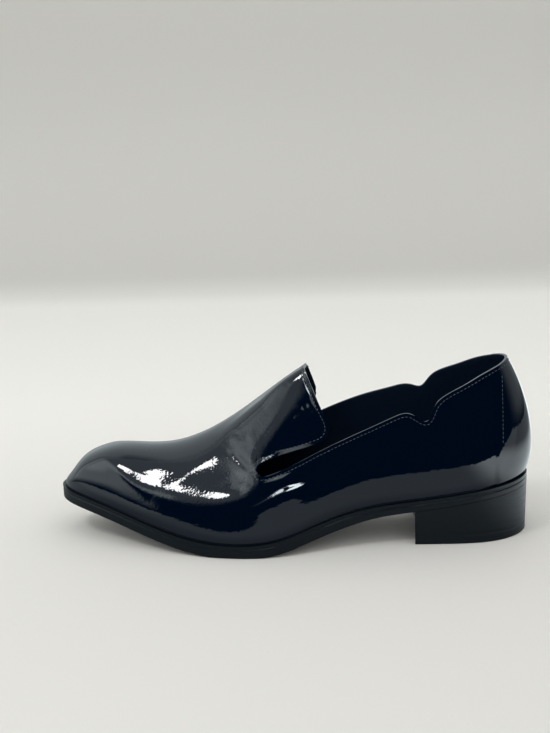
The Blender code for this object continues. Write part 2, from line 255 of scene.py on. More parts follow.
FOLDS = (
    # shoulder of the toe's facet, and the trough that runs back from it
    Fold(OUTER, 0.9, 5.0, ((292, 57), (279.7, 55.8), (272.6, 50.7), (263, 44.3), (248, 36)), 12.5),
    Fold(OUTER, -1.2, 8.5, ((272, 52.5), (258, 49.5), (246, 48), (234, 48), (214, 47.5))),
    Fold(INNER, 0.5, 5.0, ((290, 57), (279, 55.8), (271, 50.7), (261, 44.3), (250, 38))),
    Fold(INNER, -0.7, 7.0, ((276, 58), (264, 53), (252, 49), (238, 46))),
    # pleat from the slit's front end up the vamp
    Fold(OUTER, -0.55, 2.2, ((194, 66), (190.5, 62.6), (186.5, 59.5), (179.5, 54.6))),
    Fold(INNER, -0.45, 2.4, ((195, 73), (188, 67.6), (179.5, 61.6))),
    # the tongue rolls over beside its ridge and tucks in towards its edge
    Fold(
        OUTER,
        2.6,
        16.0,
        ((206, 68), (188, 81), (175, 90.5), (166, 97), (157, 103.5), (149, 108.5), (108, 129)),
        6.0,
    ),
    Fold(OUTER, 2.1, 7.0, ((174, 91.5), (160, 101.5), (149, 108.5), (138, 115), (112, 127)), 5.0),
    Fold(OUTER, -1.2, 12.0, ((180, 58), (166, 65), (152, 71), (140, 77), (126, 84))),
    # wavy crease under the slit, a trough with a ridge below it
    Fold(OUTER, -0.7, 2.2, ((188, 32), (168, 41.4), (161, 45), (154, 46.8), (147, 48.6), (136, 54))),
    Fold(
        OUTER,
        0.7,
        7.0,
        ((188, 28.2), (168, 37.6), (161, 41.2), (154, 43), (147, 44.8), (136, 50)),
        2.2,
    ),
    Fold(OUTER, -0.7, 1.8, ((145, 52), (138.5, 55), (132, 58))),
    Fold(INNER, -0.6, 4.0, ((172, 47), (160, 51), (148, 53))),
    # ripples where the ball bends
    Fold(OUTER, -0.35, 6.0, ((218, 26), (200, 23), (178, 24))),
    Fold(INNER, -0.5, 6.0, ((222, 52), (212, 42), (206, 30))),
)
FOLD_FADED = 3.0  # widths from a fold's path at which it has died away


class Dent(NamedTuple):
    """A hollow in the leather, or a swelling where its lift is positive, with four unlike slopes."""

    side: int
    station: float
    height: float
    to_toe: float  # how far it reaches each way
    to_heel: float
    up: float
    down: float
    spread: float  # how much taller it gets for each millimetre towards the heel
    lift: float


DENTS = (
    Dent(OUTER, 199.0, 46.0, 25.0, 16.0, 24.0, 8.5, 0.7, -1.8),  # pocket on the vamp's side
    Dent(OUTER, 168.0, 44.0, 14.0, 16.0, 10.0, 18.0, 0.0, 1.2),  # swelling behind it
    Dent(INNER, 205.0, 56.0, 15.0, 15.0, 11.0, 11.0, 0.0, -1.0),
)
DENT_SPAN = 12.0  # over which a dent's upright is read from the wall
DENT_LEAST = 5.0  # height of a spreading dent's pointed end
DENT_POWER = 3  # how flat a dent's middle is


class Crumple(NamedTuple):
    """A patch of small uneven creases that fades towards its rim."""

    side: int
    station: float
    height: float
    reach: float
    grain: float  # distance between creases
    lift: float


CRUMPLES = (
    Crumple(OUTER, 190.0, 69.0, 14.0, 7.0, 0.5),
    Crumple(OUTER, 143.0, 84.0, 11.0, 5.5, 0.55),
    Crumple(OUTER, 75.0, 84.0, 9.0, 3.2, 0.6),
    Crumple(INNER, 188.0, 74.0, 14.0, 7.0, 0.4),
    Crumple(INNER, 143.0, 90.0, 11.0, 5.5, 0.4),
)
CRUMPLE_FADED = 2.2  # reaches from its centre at which a crumple has died away
CRUMPLE_MEAN = 0.25  # mean height of its creases, taken off so that the patch stays level

# Details of the upper, in millimetres
BACK_STRIP = 21.5  # station of the back strip's front edge
BACK_STRIP_EDGE = 0.5  # over which the strip's step rises
STRIP_STITCHES = 18.5  # station of the strip's stitch row
STRIP_LOW = 66.0  # heights of the row's ends
STRIP_HIGH = 109.0
STRIP_SAMPLES = 40
TACK_START = 1.0  # of the tack's bars, from the slit's front end
TACK_END = 4.0
TACK_BARS = 5
TACK_PITCH = 0.7
TACK_SAMPLES = 8
STITCH_SIDES = 8  # of one stitch's mesh
STITCH_RINGS = 6
STITCH_LIFT = 0.15  # of the thread's thickness, over the leather
FLEX_STATION = 214.0  # where the vamp bends, which opens its grain
FLEX_REACH = 40.0
FOLDED_ANGLE = 60.0  # degrees past which an edge of the upper is rounded

# Details of the sole, the heel and the insole, in millimetres
SOLE_LINE_DOWN = 2.4  # from the sole's top to the line round its edge
SOLE_LINE_WIDTH = 0.5
LIFT_JOINT_DEPTH = 0.25  # of the joint over the heel's lowest layer
LIFT_JOINT_WIDTH = 0.35
HEEL_ROUND = 0.6  # rounding of the edges
INSOLE_ROUND = 0.8
ROUNDED_ANGLE = 50.0  # degrees past which an edge is rounded
ROUND_SEGMENTS = 3
END_POWER = 4  # how late the heel's hollow and the insole's toe set in


def linear(hex_colour):
    """An sRGB hex colour as linear values."""
    parts = [int(hex_colour[i : i + 2], 16) / 255 for i in (1, 3, 5)]
    return tuple(c / 12.92 if c <= 0.04045 else ((c + 0.055) / 1.055) ** 2.4 for c in parts)


def length(name, description, default):
    return FloatProperty(name=name, description=description, default=default, unit="LENGTH")


def colour(name, description, default):
    return FloatVectorProperty(
        name=name, description=description, default=linear(default), subtype="COLOR"
    )


class LoaferSizes(PropertyGroup):
    """Sizes of the finish that the last doesn't settle, in metres."""

    wall: length("Wall", "Leather and lining together", 0.0018)
    edge_round: length("Edge rounding", "Rounding of the folded edges", 0.0007)
    edge_roll: length("Edge roll", "How proud the folded edge stands", 0.0003)
    edge_width: length("Edge width", "Width of the folded edge", 0.0013)
    strip_step: length("Strip step", "How proud the back strip stands", 0.0004)
    stitch_inset: length("Stitch inset", "From the edge to the stitch row", 0.0023)
    stitch_length: length("Stitch length", "Visible length of one stitch", 0.0019)
    stitch_pitch: length("Stitch pitch", "From one stitch to the next", 0.0026)
    thread: length("Thread", "Thickness of the thread", 0.00048)
    stitch_sink: length("Stitch groove", "How far the row pulls the leather in", 0.0002)
    sole_round: length("Sole rounding", "Rounding of the sole's edges", 0.0009)
    sole_groove: length("Sole groove", "Depth of the line round the sole's edge", 0.0004)
    lift_height: length("Top lift", "Thickness of the heel's lowest layer", 0.0062)


class LoaferColours(PropertyGroup):
    """Colours of the finishes."""

    patent: colour("Patent leather", "Pigment under the film", "#010a1a")
    lining: colour("Lining", "Lining leather", "#021326")
    sole: colour("Sole", "Inked edge of the sole", "#020d16")
    heel: colour("Heel", "Stacked heel", "#020d16")
    thread: colour("Thread", "Waxed thread", "#3c434c")
    floor: colour("Floor", "Pale floor and backdrop", "#f3f3f0")


def smooth_curve(knots, rows):
    """A natural cubic spline through the rows, as a function of the knots."""
    knots, rows = np.asarray(knots, float), np.asarray(rows, float)
    steps, count = np.diff(knots), len(knots)
    slopes = np.diff(rows, axis=0) / steps[:, None]
    system, right = np.eye(count), np.zeros_like(rows)
    for i in range(1, count - 1):
        system[i, i - 1 : i + 2] = steps[i - 1], 2 * (steps[i - 1] + steps[i]), steps[i]
        right[i] = 6 * (slopes[i] - slopes[i - 1])
    bend = np.linalg.solve(system, right)

    def at(places):
        places = np.asarray(places, float)
        i = np.clip(np.searchsorted(knots, places) - 1, 0, count - 2)
        step = steps[i][..., None]
        after = (knots[i + 1] - places)[..., None] / step
        before = 1 - after
        curve = (after**3 - after) * bend[i] + (before**3 - before) * bend[i + 1]
        return after * rows[i] + before * rows[i + 1] + curve * step**2 / 6

    return at


seat_curve = smooth_curve([seat.station for seat in SEATS], [seat[1:] for seat in SEATS])


def seat_height(station):
    return seat_curve(station)[..., 0]


def sole_bottom(station):
    """Underside of the sole, cut off flat where it would pass the floor."""
    top, edge = np.moveaxis(seat_curve(station), -1, 0)
    return np.maximum(top - edge, 0)


def rib_controls(rib, side):
    """The five control points of a rib's curve on one side, each as (station, out, height)."""
    along, across_rib = -sin(radians(rib.swing)), side * cos(radians(rib.swing))
    foot = rib.outer_foot if side == OUTER else rib.inner_foot
    swell = rib.outer_swell if side == OUTER else rib.inner_swell
    seat = float(seat_height(rib.pivot + along * foot)) + GAP

    def point(reach, height, ridge=0.0):
        return rib.pivot + along * reach, rib.middle + ridge + across_rib * reach, max(height, seat)

    return (
        point(foot, seat),
        point(foot + swell, seat + rib.swell_up),
        point(rib.wall, rib.wall_up),
        point(rib.crown, rib.crown_up, rib.ridge),
        point(0.0, rib.crown_up, rib.ridge),
    )


def past_the_toe(tip, rib):
    """A rib carried through the toe's tip to its other side, so that the nose closes round."""
    mirrored = 2 * tip - rib
    mirrored[:, 0] = rib[:, 0]
    mirrored[:, 2] = 2 * rib[0, 2] - rib[:, 2]
    return mirrored


def rib_loop():
    """The ribs' control points and stations, as one curve along the loop from the toe's tip.

    The loop runs back on the outer side, round the heel, and forward on the inner side.
    """
    outer, inner = (
        np.array([rib_controls(rib, side) for rib in RIBS]) for side in (OUTER, INNER)
    )
    swells = np.stack([outer, inner])[:, :, 1, :2]
    chords = np.linalg.norm(np.diff(swells, axis=1), axis=2).mean(axis=0)
    steps = np.concatenate([chords[:1], chords, chords[::-1], chords[:1]])
    knots = np.concatenate([[0], np.cumsum(steps)]) - chords[0]
    loop = [
        past_the_toe(outer[0], outer[1]),
        *outer,
        *inner[-2::-1],
        past_the_toe(inner[0], inner[1]),
    ]
    stations = [rib.pivot - SWING_RATE * rib.swing for rib in RIBS]
    stations = [stations[1], *stations, *stations[-2::-1], stations[1]]
    rows = [np.append(rib.ravel(), station) for rib, station in zip(loop, stations)]
    return smooth_curve(knots, rows), chords.sum()


loop_curve, BACK = rib_loop()
GIRTHS = np.linspace(0, BACK, LOOP_SAMPLES + 1)
GIRTH_STATIONS = loop_curve(GIRTHS)[:, -1]


def girth_of(station):
    """Place of a station along the loop, from the toe's tip to the heel's back."""
    return np.interp(-np.asarray(station, float), -GIRTH_STATIONS, GIRTHS)


def along_loop(side, girth):
    return girth if side == OUTER else 2 * BACK - girth


def ribs_at(side, girth):
    values = loop_curve(along_loop(side, girth))
    return values[..., :-1].reshape(values.shape[:-1] + (5, 3))


def on_rib(ribs, rise):
    """Points of the last at a rise from 0, at the sole, to 1, at the ridge, on each rib."""
    rise = rise[:, None]
    weights = [comb(4, k) * rise**k * (1 - rise) ** (4 - k) for k in range(5)]
    return sum(weight * ribs[:, k] for k, weight in enumerate(weights))


def rise_to(ribs, height):
    """The rise at which each rib reaches a height."""
    low, high = np.zeros(len(ribs)), np.ones(len(ribs))
    for _ in range(RISE_HALVINGS):
        middle = (low + high) / 2
        under = on_rib(ribs, middle)[:, 2] < height
        low, high = np.where(under, middle, low), np.where(under, high, middle)
    return low


def on_wall(side, spots):
    """Points of the last at stations and heights of one side."""
    stations, heights = np.array(spots, float).T
    ribs = ribs_at(side, girth_of(stations))
    return on_rib(ribs, rise_to(ribs, heights))


def cut_edge(points, share):
    """Stations and heights along a cut edge, at shares from 0 to 1 that crowd where it turns."""
    stations, heights = np.array(points).T
    runs = np.hypot(np.diff(girth_of(stations)), np.diff(heights))
    knots = np.concatenate([[0], np.cumsum(np.sqrt(runs))])
    return np.moveaxis(smooth_curve(knots, points)(share * knots[-1]), -1, 0)


def slit_rise(side, count):
    """The rise of the slit's front end, where vamp, quarter and tongue meet."""
    ribs = ribs_at(side, np.full(count, girth_of(SLIT_FRONT)))
    return rise_to(ribs, TOPLINES[side][0].height)


def quarter(side):
    """The wall from the slit's front back to the heel, up to its topline."""

    def shape(back, up):
        stations, heights = cut_edge(TOPLINES[side], back)
        ribs = ribs_at(side, girth_of(stations))
        return on_rib(ribs, up * rise_to(ribs, heights))

    return shape


def vamp(side):
    """The wall from the slit's front forward to the toe, up to the ridge."""
    split = QUARTER_ROWS / (QUARTER_ROWS + CROWN_ROWS)

    def shape(forward, up):
        ribs = ribs_at(side, girth_of(SLIT_FRONT) * (1 - forward))
        slit = slit_rise(side, len(up))
        lower = slit * up / split
        upper = slit + (1 - slit) * (up - split) / (1 - split)
        return on_rib(ribs, np.where(up < split, lower, upper))

    return shape


def tongue(side):
    """The vamp's tongue, from the slit's front back to its end, and from the ridge to its edge."""

    def shape(back, down):
        stations, heights = cut_edge(TONGUE_EDGES[side], back)
        edge_rise = rise_to(ribs_at(side, girth_of(stations)), heights)
        middle = SLIT_FRONT + back * (TONGUE_TIP - SLIT_FRONT)
        stations = middle + (stations - middle) * down**TONGUE_CURVE
        return on_rib(ribs_at(side, girth_of(stations)), 1 - down * (1 - edge_rise))

    return shape


def outline(side, girth, grow):
    """Stations and outs of the upper's foot line, pushed outwards in plan."""
    step = BACK / LOOP_SAMPLES
    along = along_loop(side, girth)
    run = loop_curve(along + step)[:, :2] - loop_curve(along - step)[:, :2]
    run /= np.linalg.norm(run, axis=1)[:, None]
    outwards = np.stack([run[:, 1], -run[:, 0]], axis=1)
    return loop_curve(along)[:, :2] + np.reshape(grow, (-1, 1)) * outwards


def across(girth, share, grow):
    """Plan points between the outer and inner edges of a sole."""
    outer, inner = outline(OUTER, girth, grow), outline(INNER, girth, grow)
    return outer + (inner - outer) * share[:, None]


def with_height(plan, height):
    return np.column_stack([plan, height])


def frame_middle():
    """Station and out of the frame's origin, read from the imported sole."""
    edges = np.concatenate([outline(side, GIRTHS, LEDGE) for side in (OUTER, INNER)])
    low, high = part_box("outsole")
    middle = (edges.min(axis=0) + edges.max(axis=0)) / 2
    return middle + np.array([low.x + high.x, low.y + high.y]) / (2 * MM)


MIDDLE = frame_middle()


def to_frame(points):
    """Points of the last, in millimetres, as points of the frame, in metres."""
    points = np.asarray(points, float)
    plan = MIDDLE - points[:, :2]
    return np.column_stack([plan, points[:, 2]]) * MM


def shaped_grid(bm, columns, rows, shape):
    """Adds a grid of faces, with its points moved to a shape given by two shares from 0 to 1."""
    made = bmesh.ops.create_grid(bm, x_segments=columns, y_segments=rows, size=0.5)["verts"]
    shares = np.array([vert.co[:2] for vert in made], float).round(5) + 0.5
    for vert, point in zip(made, to_frame(shape(shares[:, 0], shares[:, 1]))):
        vert.co = point


def close_seams(bm):
    """Merges the points where grids meet and turns the faces outwards."""
    bmesh.ops.remove_doubles(bm, verts=bm.verts, dist=MERGE)
    bmesh.ops.dissolve_degenerate(bm, edges=bm.edges, dist=MERGE)
    bmesh.ops.recalc_face_normals(bm, faces=bm.faces)
    if bm.calc_volume(signed=True) < 0:
        bmesh.ops.reverse_faces(bm, faces=bm.faces)
    bm.normal_update()


def add_object(name, data):
    thing = bpy.data.objects.new(name, data)
    bpy.context.scene.collection.objects.link(thing)
    return thing


def add_mesh(name, bm, *materials):
    """Puts a modelled mesh in the scene."""
    mesh = bpy.data.meshes.new(name)
    bm.to_mesh(mesh)
    bm.free()
    for material in materials:
        mesh.materials.append(material)
    mesh.shade_smooth()
    return add_object(name, mesh)


def on_body(piece, slot, *replaced):
    """Makes a piece part of the shoe and hides the nodes that it stands for. The finish's slot is not
    used.
    """
    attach(piece, BODY)
    if replaced:
        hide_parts(*replaced)


def round_edges(piece, width, angle):
    """Rounds the edges of a piece that turn more sharply than an angle."""
    edges = piece.modifiers.new("Rounded edges", "BEVEL")
    edges.width = width
    edges.segments = ROUND_SEGMENTS
    edges.limit_method = "ANGLE"
    edges.angle_limit = radians(angle)


def fade(distance, width):
    return np.exp(-((distance / width) ** 2))


def path_distance(points, path):
    """Distance of each point from a path, and the index of the path's nearest place."""
    squares = ((points[:, None, :] - path[None]) ** 2).sum(axis=2)
    nearest = squares.argmin(axis=1)
    return np.sqrt(squares[np.arange(len(points)), nearest]), nearest


def fold_lift(points, fold):
    """How far a fold lifts each point, fading out towards the fold's ends."""
    spots = np.array(fold.path, float)
    runs = np.hypot(*np.diff(spots, axis=0).T)
    knots = np.concatenate([[0], np.cumsum(runs)])
    stretch = smooth_curve(knots, spots)(np.linspace(0, knots[-1], PATH_SAMPLES))
    inner_width = fold.inner_width or fold.width
    reach = np.ptp(stretch[:, 0]) / 2 + FOLD_FADED * max(fold.width, inner_width)
    near = np.abs(points[:, 0] - stretch[:, 0].mean()) < reach
    distance, nearest = path_distance(points[near], on_wall(fold.side, stretch))
    heading = np.gradient(stretch, axis=0)[nearest]
    offset = points[near][:, [0, 2]] - stretch[nearest]
    inside = heading[:, 0] * offset[:, 1] < heading[:, 1] * offset[:, 0]
    ends = np.sin(pi * nearest / (PATH_SAMPLES - 1))
    lift = np.zeros(len(points))
    lift[near] = fold.lift * fade(distance, np.where(inside, inner_width, fold.width)) * ends
    return lift


def dent_lift(points, dent):
    """How far a hollow or swelling lifts each point."""
    spots = [Spot(dent.station, dent.height + rise) for rise in (-DENT_SPAN, 0, DENT_SPAN)]
    low, centre, high = on_wall(dent.side, spots)
    up = (high - low) / np.linalg.norm(high - low)
    ahead, rise = points[:, 0] - centre[0], (points - centre) @ up
    off_side = points[:, 1] * dent.side < 0
    tall = np.maximum(dent.up - dent.spread * ahead, DENT_LEAST)
    rise /= np.where(rise > 0, tall, dent.down)
    ahead /= np.where(ahead > 0, dent.to_toe, dent.to_heel)
    return np.where(off_side, 0.0, dent.lift * np.exp(-np.hypot(ahead, rise) ** DENT_POWER))


def crumple_lift(points, crumple):
    """How far a crumpled patch lifts each point."""
    centre = on_wall(crumple.side, [Spot(crumple.station, crumple.height)])[0]
    distance = np.linalg.norm(points - centre, axis=1)
    lift = np.zeros(len(points))
    for i in np.flatnonzero(distance < CRUMPLE_FADED * crumple.reach):
        place = Vector(points[i]) / crumple.grain
        lift[i] = crumple.lift * (abs(noise.noise(place)) - CRUMPLE_MEAN)
    return lift * fade(distance, crumple.reach)


def edge_curves():
    """The upper's cut edges: both toplines, and the tongue's edge from slit to slit."""
    share, whole = np.linspace(0, 1, EDGE_SAMPLES), np.ones(EDGE_SAMPLES)
    tongue_edge = [
        tongue(OUTER)(share, whole),
        tongue(OUTER)(whole, share[::-1]),
        tongue(INNER)(whole, share),
        tongue(INNER)(share[::-1], whole),
    ]
    topline = [quarter(OUTER)(share, whole), quarter(INNER)(share[::-1], whole)]
    return {"topline": np.concatenate(topline), "tongue": np.concatenate(tongue_edge)}


def edge_distance(points):
    """Distance of each point from the nearest cut edge."""
    curves = np.concatenate(list(edge_curves().values()))
    tree = kdtree.KDTree(len(curves))
    for i, place in enumerate(curves):
        tree.insert(place, i)
    tree.balance()
    return np.array([tree.find(point)[2] for point in points])


def relief(points, sizes):
    """How far the worked leather stands off the last at each point, in millimetres."""
    lift = sum(fold_lift(points, fold) for fold in FOLDS)
    lift += sum(dent_lift(points, dent) for dent in DENTS)
    lift += sum(crumple_lift(points, crumple) for crumple in CRUMPLES)
    strip = np.clip((BACK_STRIP - points[:, 0]) / BACK_STRIP_EDGE + 0.5, 0, 1)
    lift += sizes.strip_step / MM * strip * strip * (3 - 2 * strip)
    inside = edge_distance(points) * MM
    lift += sizes.edge_roll / MM * fade(inside, sizes.edge_width)
    lift -= sizes.stitch_sink / MM * fade(inside - sizes.stitch_inset, sizes.thread)
    return lift


def upper_sheet(sizes):
    """The upper's outside as one open sheet, with its creases, folded edges and back strip."""
    bm = bmesh.new()
    for side in (OUTER, INNER):
        shaped_grid(bm, QUARTER_COLUMNS, QUARTER_ROWS, quarter(side))
        shaped_grid(bm, VAMP_COLUMNS, QUARTER_ROWS + CROWN_ROWS, vamp(side))
        shaped_grid(bm, TONGUE_COLUMNS, CROWN_ROWS, tongue(side))
    close_seams(bm)
    points = np.array([vert.co for vert in bm.verts]) / MM
    points[:, :2] = MIDDLE - points[:, :2]
    bends = fade(points[:, 0] - FLEX_STATION, FLEX_REACH)
    flex = bm.verts.layers.float.new(FLEX)
    for vert, lift, bend in zip(bm.verts, relief(points, sizes), bends):
        vert.co += vert.normal * lift * MM
        vert[flex] = bend
    bm.normal_update()
    return bm


def set_inputs(node, inputs):
    """Sets a node's inputs, or links them to a socket or to another node's first output."""
    for socket, value in dict(inputs).items():
        if isinstance(value, bpy.types.Node):
            value = value.outputs[0]
        if isinstance(value, bpy.types.NodeSocket):
            node.id_data.links.new(value, node.inputs[socket])
        else:
            node.inputs[socket].default_value = value


def add_node(tree, kind, inputs=(), **settings):
    """Adds a node with its settings and inputs."""
    node = tree.nodes.new("ShaderNode" + kind)
    for name, value in settings.items():
        setattr(node, name, value)
    set_inputs(node, inputs)
    return node


def new_material(name, colour, values):
    """A material with its shader's constant values set, its node tree, shader and coordinates."""
    material = bpy.data.materials.new(name)
    material.use_nodes = True
    tree = material.node_tree
    shader = tree.nodes["Principled BSDF"]
    set_inputs(shader, {"Base Color": (*colour, 1.0), **values})
    return material, tree, shader, add_node(tree, "TexCoord").outputs["Object"]


RANGE = ("Value", "From Min", "From Max", "To Min", "To Max")  # inputs of a range's node

# Widths and depths of the finishes' patterns
PATENT_SWAY = 9 * MM
PATENT_SWAY_DEPTH = 0.035 * MM
PATENT_GRAIN = 1.7 * MM  # coarser than a hide's own grain, so that it shows
PATENT_GRAIN_SHUT = 0.012 * MM  # its depth away from the vamp's bend
PATENT_GRAIN_OPEN = 0.07 * MM  # its depth at the bend
LINING_PORES = 0.9 * MM
LINING_PORE_DEPTH = 0.08 * MM
SANDING_DEPTH = 0.05 * MM
HEEL_LAYER = 5.39 * MM
THREAD_TWIST = 0.3 * MM
THREAD_TWIST_DEPTH = 0.05 * MM
PAPER_FIBRES = 4 * MM
PAPER_FIBRE_DEPTH = 0.2 * MM

WAVE_BANDS = 10 / pi  # bands in one unit of a wave texture at a scale of 1


def patent_leather(colours):
    """Patent leather: smooth hide under a poured polyurethane film, which gives a mirror gloss.

    The film follows the hide's sway and grain a little, most where the vamp bends, so a bright
    reflection breaks up at its rim.
    """
    material, tree, shader, place = new_material(
        "Patent leather with poured film",
        colours.patent,
        {
            "Roughness": 0.35,
            "Coat Weight": 1.0,
            "Coat Roughness": 0.025,
            "Coat IOR": 1.6,
            "Specular IOR Level": 0.0,
        },
    )
    sway = add_node(tree, "TexNoise", {"Vector": place, "Scale": 1 / PATENT_SWAY, "Detail": 1.0})
    swayed = add_node(tree, "Bump", {"Height": sway, "Distance": PATENT_SWAY_DEPTH, "Strength": 1.0})
    grain = add_node(tree, "TexNoise", {"Vector": place, "Scale": 1 / PATENT_GRAIN, "Detail": 1.0})
    flex = add_node(tree, "Attribute", attribute_name=FLEX).outputs["Fac"]
    depth = add_node(
        tree, "MapRange", {"Value": flex, "To Min": PATENT_GRAIN_SHUT, "To Max": PATENT_GRAIN_OPEN}
    )
    grained = add_node(
        tree, "Bump", {"Height": grain, "Distance": depth, "Strength": 1.0, "Normal": swayed}
    )
    set_inputs(shader, {"Normal": grained, "Coat Normal": grained})
    return material


def lining_leather(colours):
    """Lining leather: thin dyed hide with an open grain, matt beside the patent."""
    material, tree, shader, place = new_material(
        "Lining leather, dyed", colours.lining, {"Roughness": 0.62, "Specular IOR Level": 0.15}
    )
    pores = add_node(tree, "TexVoronoi", {"Vector": place, "Scale": 1 / LINING_PORES})
    bump = add_node(tree, "Bump", {"Height": pores, "Distance": LINING_PORE_DEPTH, "Strength": 0.6})
    set_inputs(shader, {"Normal": bump})
    return material


class Sanding(NamedTuple):
    """Fine marks that sanding leaves along an edge."""

    width: float  # of one mark
    squeeze: float  # of the pattern along the edge, which draws the marks out
    smooth: float  # roughness between the marks
    rough: float


SOLE_SANDING = Sanding(0.7 * MM, 0.06, 0.30, 0.46)
HEEL_SANDING = Sanding(0.6 * MM, 0.05, 0.32, 0.50)
SANDING_LOW = 0.3  # noise at which a mark starts, and at which it is full
SANDING_HIGH = 0.7


def sanding_marks(tree, shader, place, sanding):
    """The height of sanding marks, which also vary the shader's roughness."""
    drawn = (sanding.squeeze, sanding.squeeze, 1.0)
    squeezed = add_node(tree, "Mapping", {"Vector": place, "Scale": drawn})
    marks = add_node(
        tree, "TexNoise", {"Vector": squeezed, "Scale": 1 / sanding.width, "Detail": 3.0}
    )
    values = (marks, SANDING_LOW, SANDING_HIGH, sanding.smooth, sanding.rough)
    set_inputs(shader, {"Roughness": add_node(tree, "MapRange", zip(RANGE, values))})
    return marks


def sole_edge(colours):
    """Inked and burnished sole edge: satin, with fine sanding marks along the edge."""
    material, tree, shader, place = new_material(
        "Sole edge, inked and burnished",
        colours.sole,
        {"Coat Weight": 0.08, "Coat Roughness": 0.25, "Specular IOR Level": 0.32},
    )
    marks = sanding_marks(tree, shader, place, SOLE_SANDING)
    bump = add_node(tree, "Bump", {"Height": marks, "Distance": SANDING_DEPTH, "Strength": 0.7})
    set_inputs(shader, {"Normal": bump})
    return material


def heel_stack(colours):
    """Stacked heel: pressed layers sanded flush, inked and waxed, so the layers just show."""
    material, tree, shader, place = new_material(
        "Stacked heel, inked and waxed",
        colours.heel,
        {"Coat Weight": 0.08, "Coat Roughness": 0.3, "Specular IOR Level": 0.32},
    )
    layers = add_node(
        tree,
        "TexWave",
        {
            "Vector": place,
            "Scale": 1 / (HEEL_LAYER * WAVE_BANDS),
            "Distortion": 1.2,
            "Detail": 3.0,
            "Detail Scale": 2.0,
        },
        bands_direction="Z",
    )
    marks = sanding_marks(tree, shader, place, HEEL_SANDING)
    both = add_node(tree, "Math", {0: layers.outputs["Fac"], 1: marks}, operation="ADD")
    bump = add_node(tree, "Bump", {"Height": both, "Distance": SANDING_DEPTH, "Strength": 0.7})
    set_inputs(shader, {"Normal": bump})
    return material


def sewing_thread(colours):
    """Waxed sewing thread: twisted polyester with a soft shine."""
    material, tree, shader, place = new_material(
        "Sewing thread, waxed", colours.thread, {"Roughness": 0.35}
    )
    twist = add_node(tree, "TexNoise", {"Vector": place, "Scale": 1 / THREAD_TWIST})
    bump = add_node(tree, "Bump", {"Height": twist, "Distance": THREAD_TWIST_DEPTH, "Strength": 0.6})
    set_inputs(shader, {"Normal": bump})
    return material


class PaintedShade(NamedTuple):
    """Painted shade on the paper: how the paper's tone changes between a near and a far place behind
    the shoe, in metres.
    """

    near: float
    far: float
    near_light: float
    far_light: float


SWEEP_PAINTED_SHADES = (
    PaintedShade(-0.12, 0.35, 0.82, 1.0),  # painted shade, darker towards the camera
    PaintedShade(0.80, 1.02, 1.0, 0.70),  # painted shade, darker up the backdrop
)


def floor_paper(colours):
    """Matt paper sweep: pressed fibres that scatter the light evenly, with painted shade that darkens
    its colour towards the camera and up the backdrop.
    """
    material, tree, shader, place = new_material(
        "Paper sweep, matt, with painted shade", colours.floor, {"Roughness": 0.7}
    )
    behind = add_node(tree, "SeparateXYZ", {"Vector": place}).outputs["Y"]
    # painted shade: the paper's colour is scaled down towards the camera and up the backdrop
    painted_shade_factor = 1.0
    for shade in SWEEP_PAINTED_SHADES:
        step = add_node(
            tree, "MapRange", zip(RANGE, (behind, *shade)), interpolation_type="SMOOTHSTEP"
        )
        painted_shade_factor = add_node(tree, "Math", {0: step, 1: painted_shade_factor}, operation="MULTIPLY")
    painted_shade_colour = add_node(
        tree, "VectorMath", {"Vector": tuple(colours.floor), "Scale": painted_shade_factor}, operation="SCALE"
    )
    fibres = add_node(tree, "TexNoise", {"Vector": place, "Scale": 1 / PAPER_FIBRES, "Detail": 4.0})
    bump = add_node(tree, "Bump", {"Height": fibres, "Distance": PAPER_FIBRE_DEPTH, "Strength": 0.3})
    set_inputs(shader, {"Base Color": painted_shade_colour, "Normal": bump})
    return material


class LOAFER_OT_upper(Operator):
    """Model the patent upper with its creases, folded edges and lining"""

    bl_idname = "loafer.upper"
    bl_label = "Patent upper"

    def execute(self, context):
        sizes, colours = context.scene.loafer_sizes, context.scene.loafer_colours
        sheet, leather = upper_sheet(sizes), patent_leather(colours)
        upper = add_mesh("patent_upper", sheet, leather, lining_leather(colours))
        on_body(upper, "patent_leather", "upper")
        wall = upper.modifiers.new("Wall", "SOLIDIFY")
        wall.thickness = sizes.wall
        wall.offset = -1.0
        wall.use_even_offset = True
        wall.material_offset = 1
        wall.material_offset_rim = 0
        round_edges(upper, sizes.edge_round, FOLDED_ANGLE)
        return {"FINISHED"}


def strip_row(side):
    """Points of the stitch row beside the back strip's edge."""
    labels = np.linspace(0, RIBS[-1].pivot, STRIP_SAMPLES)
    row = []
    for height in np.linspace(STRIP_LOW, STRIP_HIGH, STRIP_SAMPLES):
        wall = on_wall(side, [Spot(label, height) for label in labels])
        row.append([np.interp(STRIP_STITCHES, wall[:, 0], wall[:, k]) for k in range(3)])
    return np.array(row)


def tack_bars(side):
    """Spots along the short bars of the tack that holds the slit's front end."""
    stations = np.linspace(SLIT_FRONT + TACK_START, SLIT_FRONT + TACK_END, TACK_SAMPLES)
    middle = TOPLINES[side][0].height
    return [
        [Spot(station, middle + TACK_PITCH * (k - (TACK_BARS - 1) / 2)) for station in stations]
        for k in range(TACK_BARS)
    ]


